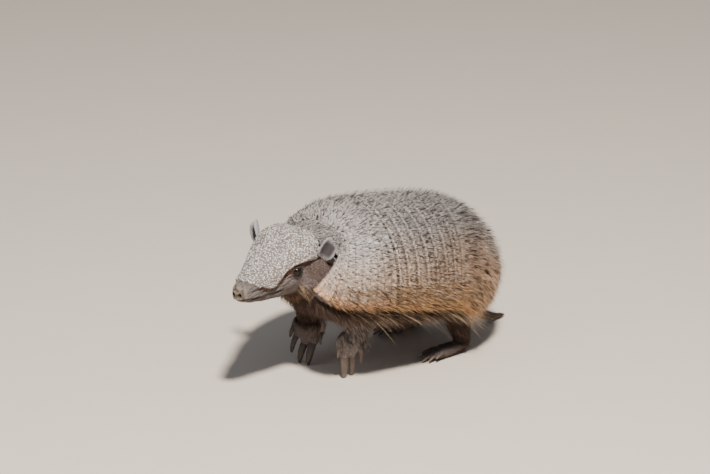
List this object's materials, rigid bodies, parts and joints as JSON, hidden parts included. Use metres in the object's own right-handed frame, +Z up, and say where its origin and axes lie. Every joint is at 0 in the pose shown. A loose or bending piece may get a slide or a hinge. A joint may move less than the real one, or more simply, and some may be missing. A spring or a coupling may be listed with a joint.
{
  "type": "big hairy armadillo",
  "caption": "Still, life-size big hairy armadillo in mid stride, standing on its fore claws and hind soles, head turned to its left, with a banded bristly shell.",
  "frame": {"origin": "centre of the animal's bounding box on the floor it stands on", "axes": "+Z up; the animal faces -Y; +X is its left side"},
  "size_m": [0.1548, 0.3306, 0.1607],
  "materials": {
    "shell": "dry horny scutes, matte to satin, grey-tan on top and orange-brown at the rim",
    "hide": "dark brown scaly skin under coarse hair, matte",
    "claw": "tan-grey horn, satin",
    "eye": "wet black, glossy"
  },
  "bodies": {
    "root": {"head_shield": "shell", "nuchal_band": "shell", "shoulder_shield": "shell", "band_1": "shell", "band_2": "shell", "band_3": "shell", "band_4": "shell", "band_5": "shell", "band_6": "shell", "band_7": "shell", "pelvic_shield": "shell", "trunk": "hide", "neck": "hide", "head": "hide", "tail": "hide", "ear_left": "hide", "ear_right": "hide", "foreleg_left": "hide", "foreleg_right": "hide", "forefoot_left": "hide", "forefoot_right": "hide", "hindleg_left": "hide", "hindleg_right": "hide", "hindfoot_left": "hide", "hindfoot_right": "hide", "eye_left": "eye", "forefoot_left_claw_1": "claw", "forefoot_left_claw_2": "claw", "forefoot_left_claw_3": "claw", "forefoot_left_claw_4": "claw", "forefoot_left_claw_5": "claw", "hindfoot_left_claw_1": "claw", "hindfoot_left_claw_2": "claw", "hindfoot_left_claw_3": "claw", "hindfoot_left_claw_4": "claw", "hindfoot_left_claw_5": "claw", "eye_right": "eye", "forefoot_right_claw_1": "claw", "forefoot_right_claw_2": "claw", "forefoot_right_claw_3": "claw", "forefoot_right_claw_4": "claw", "forefoot_right_claw_5": "claw", "hindfoot_right_claw_1": "claw", "hindfoot_right_claw_2": "claw", "hindfoot_right_claw_3": "claw", "hindfoot_right_claw_4": "claw", "hindfoot_right_claw_5": "claw"}
  },
  "joints": []
}
